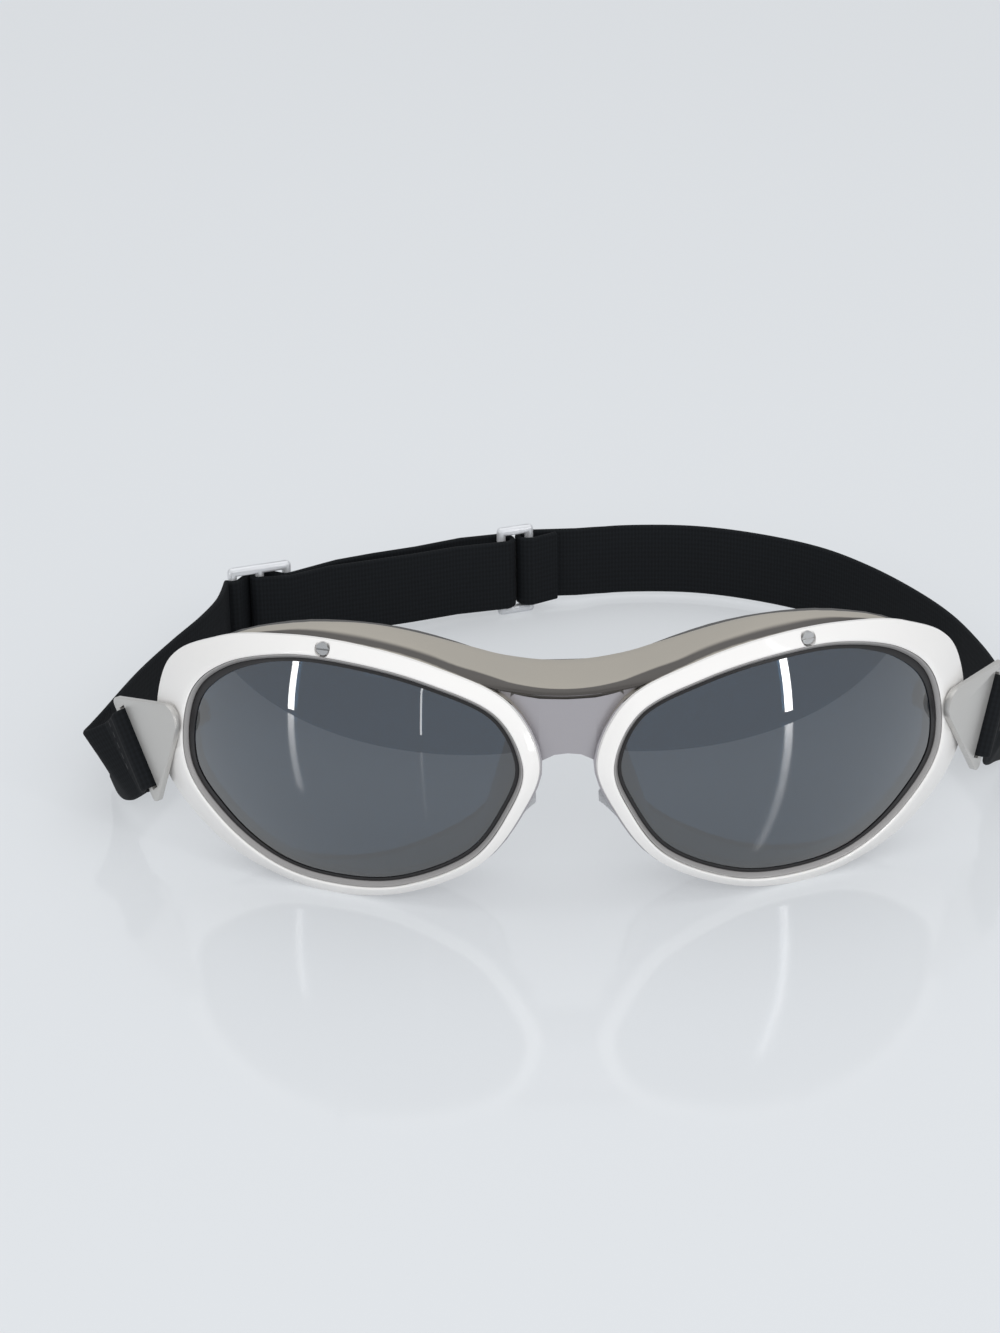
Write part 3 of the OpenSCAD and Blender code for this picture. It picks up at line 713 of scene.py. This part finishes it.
# %% Brow
BROW = [
    (0, 4.25, 41.9, 5.7, 42.7, 19.7, 42.3, 41.6), (5, 4.5, 42.05, 6.1, 42.9, 19.7, 42.55, 41.7),
    (10, 5.2, 42.5, 7.2, 43.5, 19.7, 43.35, 41.9), (13, 5.4, 43.1, 8.2, 44.3, 19.7, 44.1, 42.6),
    (16, 5.6, 44.1, 8.9, 45.2, 19.7, 45.1, 44.3), (20, 6.1, 45.5, 9.5, 46.4, 19.75, 46.3, 45.8),
    (24, 7.0, 46.9, 11.4, 47.7, 19.85, 47.5, 47.2), (28, 8.0, 48.0, 12.4, 48.8, 19.95, 48.6, 48.3),
    (32, 9.2, 48.9, 13.6, 49.6, 20.1, 49.5, 49.1), (36, 10.6, 49.5, 15.0, 50.15, 20.3, 50.1, 49.7),
    (40, 12.15, 49.8, 16.4, 50.4, 20.5, 50.4, 49.9), (44, 13.95, 49.8, 17.6, 50.4, 20.95, 50.3, 49.9),
    (48, 15.9, 49.4, 19.0, 50.0, 21.8, 49.9, 49.5), (52, 18.0, 48.6, 20.0, 49.2, 23.1, 49.1, 48.7),
    (56, 20.5, 47.3, 22.2, 47.9, 24.9, 47.8, 47.4), (60, 23.1, 45.5, 24.5, 45.8, 27.0, 45.8, 45.6),
    (63, 25.1, 43.1, 26.4, 43.2, 28.8, 43.2, 43.5),
]
BROW_STEP, BROW_STATIONS, BROW_SINK = 1.5, 42, 0.75
FOOT_BACK, FOOT_FRONT = 1.2, 1
STEEP_FROM, STEEP_OVER = 10, 7
ROLL_STEPS, RUN_SHARES = 8, (0.2, 0.4, 0.6, 0.8)
EDGE_BACK, EDGE_RADIUS, EDGE_STEPS = 0.5, 0.45, 3
CREASE_END, CREASE_SIDES = 19, 12
CREASE_BACK, CREASE_DOWN, CREASE_DEEP, CREASE_HIGH = 0.3, 0.42, 0.5, 0.45


def brow_at(x):
    """The table's row at any distance from the middle, without the distance."""
    rows = [Vector(row) for row in BROW]
    x = abs(x)
    for i in range(len(rows) - 1):
        if x <= rows[i + 1][0]:
            before = rows[i - 1] if i else Vector((-rows[1][0], *rows[1][1:]))
            after = rows[min(i + 2, len(rows) - 1)]
            share = (x - rows[i][0]) / (rows[i + 1][0] - rows[i][0])
            return between(before, rows[i], rows[i + 1], after, share)[1:]
    return rows[-1][1:]


def brow_section(x):
    front, low, top_y, top, back, rear, packed = brow_at(x)
    flat = [(front + FOOT_BACK, packed - BROW_SINK), (front + FOOT_FRONT, low)]
    slope = 1 + max(0, min(1, (abs(x) - STEEP_FROM) / STEEP_OVER))
    for k in range(ROLL_STEPS + 1):
        g = math.radians(90 * k / ROLL_STEPS)
        rise = math.sin(g) ** slope
        flat.append((top_y - (top_y - front) * math.cos(g), low + (top - low) * rise))
    run = back - EDGE_BACK
    for share in RUN_SHARES:
        flat.append((top_y + (run - top_y) * share, top + (rear - top) * share * share))
    for k in range(EDGE_STEPS + 1):
        g = math.radians(90 - 90 / EDGE_STEPS * k)
        up = EDGE_RADIUS * math.sin(g)
        flat.append((run + EDGE_RADIUS * math.cos(g), rear - EDGE_RADIUS + up))
    flat.append((run + EDGE_RADIUS, packed - BROW_SINK))
    return [Vector((x, y - MIDDLE, z)) * MM for y, z in flat]


def crease_ring(x):
    front, low = brow_at(x)[:2]
    centre = Vector((x, front + CREASE_BACK - MIDDLE, low - CREASE_DOWN))
    turns = [math.tau * k / CREASE_SIDES for k in range(CREASE_SIDES)]
    return [
        (centre + Vector((0, CREASE_DEEP * math.cos(g), CREASE_HIGH * math.sin(g)))) * MM
        for g in turns
    ]


def resharpen(thing, angle):
    mesh = bmesh.new()
    mesh.from_mesh(thing.data)
    shade(mesh, angle)
    mesh.to_mesh(thing.data)
    mesh.free()


# The groove shades the crease for real, and the shell's colour adds painted shade there.
rings = [crease_ring(x) for x in range(-CREASE_END, CREASE_END + 1)]
cut(shell, add_object(carry(rings, join=False), "crease"), "DIFFERENCE")
stations = [k * BROW_STEP for k in range(-BROW_STATIONS, BROW_STATIONS + 1)]
sections = [brow_section(x) for x in stations]
cut(shell, add_object(carry(sections, join=False), "brow"), "UNION")
resharpen(shell, 40)
print("the shell has", len(shell.data.polygons), "faces")

# %% [markdown]
# The strap is a flat band stood on its edge. Its route is drawn from above, as a line, and its
# section is a rounded strip. The left strap passes the slider, turns round the ring and comes back.
# Near the slider and the ring the band is lifted to their middle, and elsewhere it stands lower.

# %% Strap section and routes
STRAP_W, STRAP_T = 16, 1.2
SLIDER, RING = Vector((-61.3, 122.6)), Vector((-6, 141.7))
LINE = math.radians(19)
SLIDER_STEP, RING_HALF = 6, 3.2
AROUND, OVER, RING_FOLD = 1.5, 2.85, 2.45
LAYER_GAP, SEWN_LENGTH, SEWN_RISE = 0.2, 6, 0.4
WEAVE = math.degrees(math.asin((AROUND + OVER) / SLIDER_STEP))


def on_line(origin, s, t):
    """The point s along the doubled strap from the origin, and t to its back."""
    c, d = math.cos(LINE), math.sin(LINE)
    return origin + Vector((s * c - t * d, s * d + t * c))


def arc(origin, s, radius, a, b, steps):
    angles = [math.radians(a + (b - a) * k / steps) for k in range(steps + 1)]
    return [on_line(origin, s + radius * math.cos(g), radius * math.sin(g)) for g in angles]


def vectors(points):
    return [Vector(point) for point in points]


LEFT_SIDE = vectors([
    (-88, 58), (-83.2, 74.5), (-77.8, 89), (-72.6, 100.5), (-69.6, 109), (-68.6, 115),
])
RIGHT_SIDE = vectors([
    (7.5, 146), (17.5, 148.3), (33, 147.2), (47, 141.8), (60, 133), (69.5, 121.5),
    (77.5, 107.5), (83, 94), (86.4, 79.5), (88, 68), (88.5, 58),
])
side_route = (
    open_curve(LEFT_SIDE, 8)
    + arc(SLIDER, -SLIDER_STEP, AROUND, 195, 270 + WEAVE, 12)
    + arc(SLIDER, 0, OVER, 90 + WEAVE, 90 - WEAVE, 14)
    + arc(SLIDER, SLIDER_STEP, AROUND, 270 - WEAVE, 270, 8)
)
ring_route = (
    [side_route[-1]] + vectors([(-45, 130), (-37, 133.4), (-28, 136.6), (-18, 141.2)])
    + arc(RING, -RING_HALF, RING_FOLD, 80, -80, 18)
    + vectors([(-19, 136), (-29, 132.2), (-38, 129.2), (-46.5, 126.6)])
    + [on_line(SLIDER, SLIDER_STEP, -AROUND - STRAP_T - LAYER_GAP)]
    + arc(SLIDER, 0, AROUND, -84, -335, 20)
)
right_route = (
    [on_line(RING, RING_HALF + SEWN_LENGTH, -AROUND + SEWN_RISE)]
    + arc(RING, RING_HALF, RING_FOLD, 270, 80, 18)
    + open_curve(RIGHT_SIDE, 8)
)
LOW_EDGE, HARDWARE_Z = 1.4, 10.1
LIFT_FROM, LIFT_TO, LIFT_OVER = -78, 14, 10


def lift(x):
    """The height of the band's lower edge."""
    share = max(0, min(1, (x - LIFT_FROM) / LIFT_OVER, (LIFT_TO - x) / LIFT_OVER))
    return LOW_EDGE + (HARDWARE_Z - STRAP_W / 2 - LOW_EDGE) * share


def strip_section(width, thick, steps=5):
    """Points round a strip with rounded edges, as (across its thickness, up its width)."""
    made = []
    radius = thick / 2
    for up, start in ((width - radius, 0), (radius, 180)):
        for k in range(steps + 1):
            g = math.radians(start + 180 * k / steps)
            made.append(Vector((radius * math.cos(g), up + radius * math.sin(g))))
    return made


SECTION = strip_section(STRAP_W, STRAP_T)


def band(low, high, name):
    """A strip between two edge curves, given in millimetres."""
    lengths = [0]
    middles = [(a + b) / 2 for a, b in zip(low, high)]
    for a, b in zip(middles, middles[1:]):
        lengths.append(lengths[-1] + (b - a).length)
    loops = []
    for i, (a, b) in enumerate(zip(low, high)):
        along = middles[min(i + 1, len(low) - 1)] - middles[max(i - 1, 0)]
        up = (b - a).normalized()
        flat = along.cross(up).normalized()
        wide = (b - a).length / STRAP_W
        loops.append([(a + flat * p.x + up * p.y * wide) * MM for p in SECTION])
    mesh = carry(loops, join=False, uv=lambda r, k: (lengths[r], SECTION[k].y))
    return piece(mesh, name, strap_webbing, angle=60)


def standing(route):
    low = [Vector((p.x, p.y - MIDDLE, lift(p.x))) for p in route]
    return low, [p + Vector((0, 0, STRAP_W)) for p in low]


side_band = band(*standing(side_route), "strap_left_side")
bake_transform(side_band)
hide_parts("strap_left")
ring_band = band(*standing(ring_route), "strap_left_doubled")
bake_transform(ring_band)
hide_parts("strap_left")
right_band = band(*standing(right_route), "strap_right_band")
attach(right_band, "front")
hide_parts("strap_right")
for made in (side_band, ring_band, right_band):
    print(made.name, len(made.data.vertices), "vertices")

# %% [markdown]
# At the front the strap ends in a tab: it goes through the end piece's slot, folds round the bar
# and is sewn to itself. The short stretch behind the tab follows the end piece at one end and the
# side of the strap at the other. Both are bands between a lower and an upper edge curve.

# %% Tabs and front stretches
TURN = {"left": math.radians(-6), "right": math.radians(6)}
LEAN = math.radians(32)
SLOT = 11.5 * Vector((math.cos(math.radians(-37)), math.sin(math.radians(-37))))
SLOT_UP = Vector((math.sin(LEAN), math.cos(LEAN)))
SLOT_OUT = Vector((math.cos(LEAN), -math.sin(LEAN)))
BAR_OFF, TAB_IN, PLATE_T = 2.7, 1.2, 1.4
LOW_REACH, HIGH_REACH = 3.7, 6.5
TAB_SPREAD, TAB_TURN = [(3.2, -0.66), (2.1, -1.05)], range(-60, -301, -20)


def plate_point(name, flat, t):
    origin, across, up, out = plate_axes(SIDES[name])
    c, s = math.cos(TURN[name]), math.sin(TURN[name])
    x, y = flat.x * c - flat.y * s, flat.x * s + flat.y * c
    return origin + across * x + up * y + out * (PLATE_T / 2 + t)


def tab_route(reach):
    fold = TAB_IN + STRAP_T / 2
    rear = [(reach, -STRAP_T / 2)] + TAB_SPREAD
    angles = [math.radians(g) for g in TAB_TURN]
    turn = [(fold * math.cos(g), fold * math.sin(g)) for g in angles]
    return vectors(rear + turn + [(x, -z) for x, z in reversed(rear)])


def tab(name):
    edges = []
    for up, reach in ((-1, LOW_REACH), (1, HIGH_REACH)):
        foot = SLOT + BAR_OFF * SLOT_OUT + up * STRAP_W / 2 * SLOT_UP
        edges.append([plate_point(name, foot + p.x * SLOT_OUT, p.y) for p in tab_route(reach)])
    made = band(*edges, "strap_tab_folded_" + name)
    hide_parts("strap_tab_" + name)
    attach(made, "end_" + name)


FRONT_LOW = [(82.4, 43.6, 5.6), (85.2, 49.8, 3.2)]
FRONT_HIGH = [(91.6, 49.4, 17.8), (90.6, 53.2, 17.8)]
FOLLOW = {"left": Vector((0, -0.9, -1.2)), "right": Vector((0, 0.9, 1.2))}
JOIN = {"left": (88, 58), "right": (88.5, 58)}


def front_band(name):
    side = SIDES[name]
    edges = []
    curves = (
        (-1, LOW_REACH, FRONT_LOW, LOW_EDGE),
        (1, HIGH_REACH, FRONT_HIGH, LOW_EDGE + STRAP_W),
    )
    for up, reach, middle, height in curves:
        corner = SLOT + (BAR_OFF + reach) * SLOT_OUT + up * STRAP_W / 2 * SLOT_UP
        points = [Vector(p) + FOLLOW[name] for p in middle] + [Vector((*JOIN[name], height))]
        points = [Vector((side * p.x, p.y - MIDDLE, p.z)) for p in points]
        edges.append(open_curve([plate_point(name, corner, 0)] + points, 10))
    made = band(*edges, "strap_front_band_" + name)
    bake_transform(made)
    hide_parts("strap_front_" + name)


for name in SIDES:
    tab(name)
    front_band(name)
    print("the", name, "tab and front stretch are in place")

# %% [markdown]
# Stitches are short rounded lengths of thread. One is made from a sphere, stretched, and set down
# in a row across each tab. The lowest two places stay empty, because the tab's lower edge ends
# before them.

# %% Stitches
thread = grained("thread", (0.02, 0.021, 0.023), (2000, 0.5, 0.6, 0.01))
STITCH_LENGTH, STITCH_PITCH, STITCH_FIRST, THREAD = 1.5, 2.2, 2, 0.34
STITCH_MARGIN, STITCH_REACH = 1, 4.3


def stitches(name, body):
    foot = SLOT + (BAR_OFF + STITCH_REACH) * SLOT_OUT - SLOT_UP * STRAP_W / 2
    start = plate_point(name, foot, STRAP_T)
    up = (plate_point(name, foot + SLOT_UP, STRAP_T) - start).normalized()
    out = plate_axes(SIDES[name])[3]
    turn = Matrix((up.cross(out), out, up)).transposed().to_4x4()
    size = Matrix.Diagonal((THREAD / 2, THREAD / 4, STITCH_LENGTH / 2, 1))
    last = int((STRAP_W - 2 * STITCH_MARGIN) / STITCH_PITCH)
    mesh = bmesh.new()
    for k in range(STITCH_FIRST, last + 1):
        centre = start + up * (STITCH_MARGIN + k * STITCH_PITCH + STITCH_LENGTH / 2)
        place = Matrix.Scale(MM, 4) @ Matrix.Translation(centre) @ turn @ size
        bmesh.ops.create_uvsphere(mesh, u_segments=8, v_segments=6, radius=1, matrix=place)
    bmesh.ops.recalc_face_normals(mesh, faces=mesh.faces)
    made = piece(mesh, "tab_stitches_" + name, thread, angle=80)
    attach(made, body)
    print(made.name, last + 1 - STITCH_FIRST, "stitches")


for name in SIDES:
    stitches(name, "end_" + name)

# %% [markdown]
# The goggles lie on a glossy white table, close to its front edge. In the lenses that edge is a
# horizon: the pale table below it, the dimmer room above. The camera itself sees the room in the
# table's colour. Three narrow upright lamps stand in the room, two to the left of the camera and
# one to the right. The lenses show a lamp as a streak, and again below the horizon, mirrored in the
# gloss of the table.
#
# The light comes from the pale room, from a large soft lamp above and from another far in front, so
# the shadows stay faint. The table also glows: into whatever the camera, a reflection or the glass
# shows of it, it mixes its own pale colour as painted light, which lightens the shadows on it.

# %% Table, light and world
TABLE = (0.765, 0.79, 0.815)
TABLE_FRONT, TABLE_BACK, TABLE_HALF = -0.213, 3, 3
# Painted light: the share of the table's own colour that glows, lightening the shadows on it.
TABLE_PAINTED_GLOW = 0.45
ROOM = (0.88, 0.90, 0.93)
ROOM_STRENGTH = 0.6
LAMP_DISTANCE, LENSES_Y = 1.2, -0.07


def make_table():
    made, tree, shader = material("table_white_painted_glow", TABLE, Roughness=0.1, IOR=1.75)
    # Painted light: an emission in the table's colour, for camera, glossy and transmission rays only.
    painted_glow = tree.nodes.new("ShaderNodeEmission")
    painted_glow.inputs["Color"].default_value = (*TABLE, 1)
    path = tree.nodes.new("ShaderNodeLightPath")
    seen = maths(tree, "MAXIMUM", path.outputs["Is Camera Ray"], path.outputs["Is Glossy Ray"])
    seen = maths(tree, "MAXIMUM", seen, path.outputs["Is Transmission Ray"])
    mix = tree.nodes.new("ShaderNodeMixShader")
    tree.links.new(maths(tree, "MULTIPLY", seen, TABLE_PAINTED_GLOW), mix.inputs[0])
    tree.links.new(shader.outputs[0], mix.inputs[1])
    tree.links.new(painted_glow.outputs[0], mix.inputs[2])
    tree.links.new(mix.outputs[0], tree.nodes["Material Output"].inputs["Surface"])
    mesh = bmesh.new()
    depth = TABLE_BACK - TABLE_FRONT
    size = Matrix.Diagonal((TABLE_HALF, depth / 2, 1, 1))
    place = Matrix.Translation((0, TABLE_FRONT + depth / 2, 0)) @ size
    bmesh.ops.create_grid(mesh, x_segments=1, y_segments=1, size=1, matrix=place)
    table = add_object(mesh, "table")
    table.data.materials.append(made)


def make_world():
    world = bpy.data.worlds.new("room")
    bpy.context.scene.world = world
    world.use_nodes = True
    tree = world.node_tree
    dim = tree.nodes["Background"]
    dim.inputs["Color"].default_value = (*ROOM, 1)
    dim.inputs["Strength"].default_value = ROOM_STRENGTH
    pale = tree.nodes.new("ShaderNodeBackground")
    pale.inputs["Color"].default_value = (*TABLE, 1)
    path = tree.nodes.new("ShaderNodeLightPath")
    seen = tree.nodes.new("ShaderNodeMixShader")
    tree.links.new(path.outputs["Is Camera Ray"], seen.inputs[0])
    tree.links.new(dim.outputs[0], seen.inputs[1])
    tree.links.new(pale.outputs[0], seen.inputs[2])
    tree.links.new(seen.outputs[0], tree.nodes["World Output"].inputs["Surface"])


def lamp(name, place, target, size, power):
    data = bpy.data.lights.new(name, "AREA")
    data.shape = "RECTANGLE"
    data.size, data.size_y = size
    data.energy = power
    made = bpy.data.objects.new(name, data)
    made.location = place
    made.rotation_mode = "QUATERNION"
    made.rotation_quaternion = (Vector(target) - Vector(place)).to_track_quat("-Z", "Y")
    made.visible_camera = False
    bpy.context.scene.collection.objects.link(made)
    return made


def strip(name, azimuth, bottom, top, width, power):
    """An upright lamp beyond the table. The azimuth starts straight in front and grows to the right."""
    turn = math.radians(azimuth)
    away = LAMP_DISTANCE * Vector((math.sin(turn), -math.cos(turn), 0))
    aim = Vector((0, LENSES_Y, (bottom + top) / 2))
    lamp(name, away + aim, aim, (width, top - bottom), power)


make_table()
make_world()
lamp("soft_top", (0, 0.9, 2.2), (0, 0.7, 0), (3, 3), 19)
lamp("soft_front", (0, -3, 1.6), (0, 0, 0), (5, 2), 66).visible_glossy = False
strip("streak_right", 46, -0.08, 1.3, 0.055, 2.8)
strip("streak_left", -60, -0.08, 0.6, 0.045, 0.8)
strip("streak_thin", -18, -0.1, 0.8, 0.012, 0.1)
bpy.context.scene.view_settings.view_transform = "Standard"
print("lit by", len(bpy.data.lights), "lamps and the room")
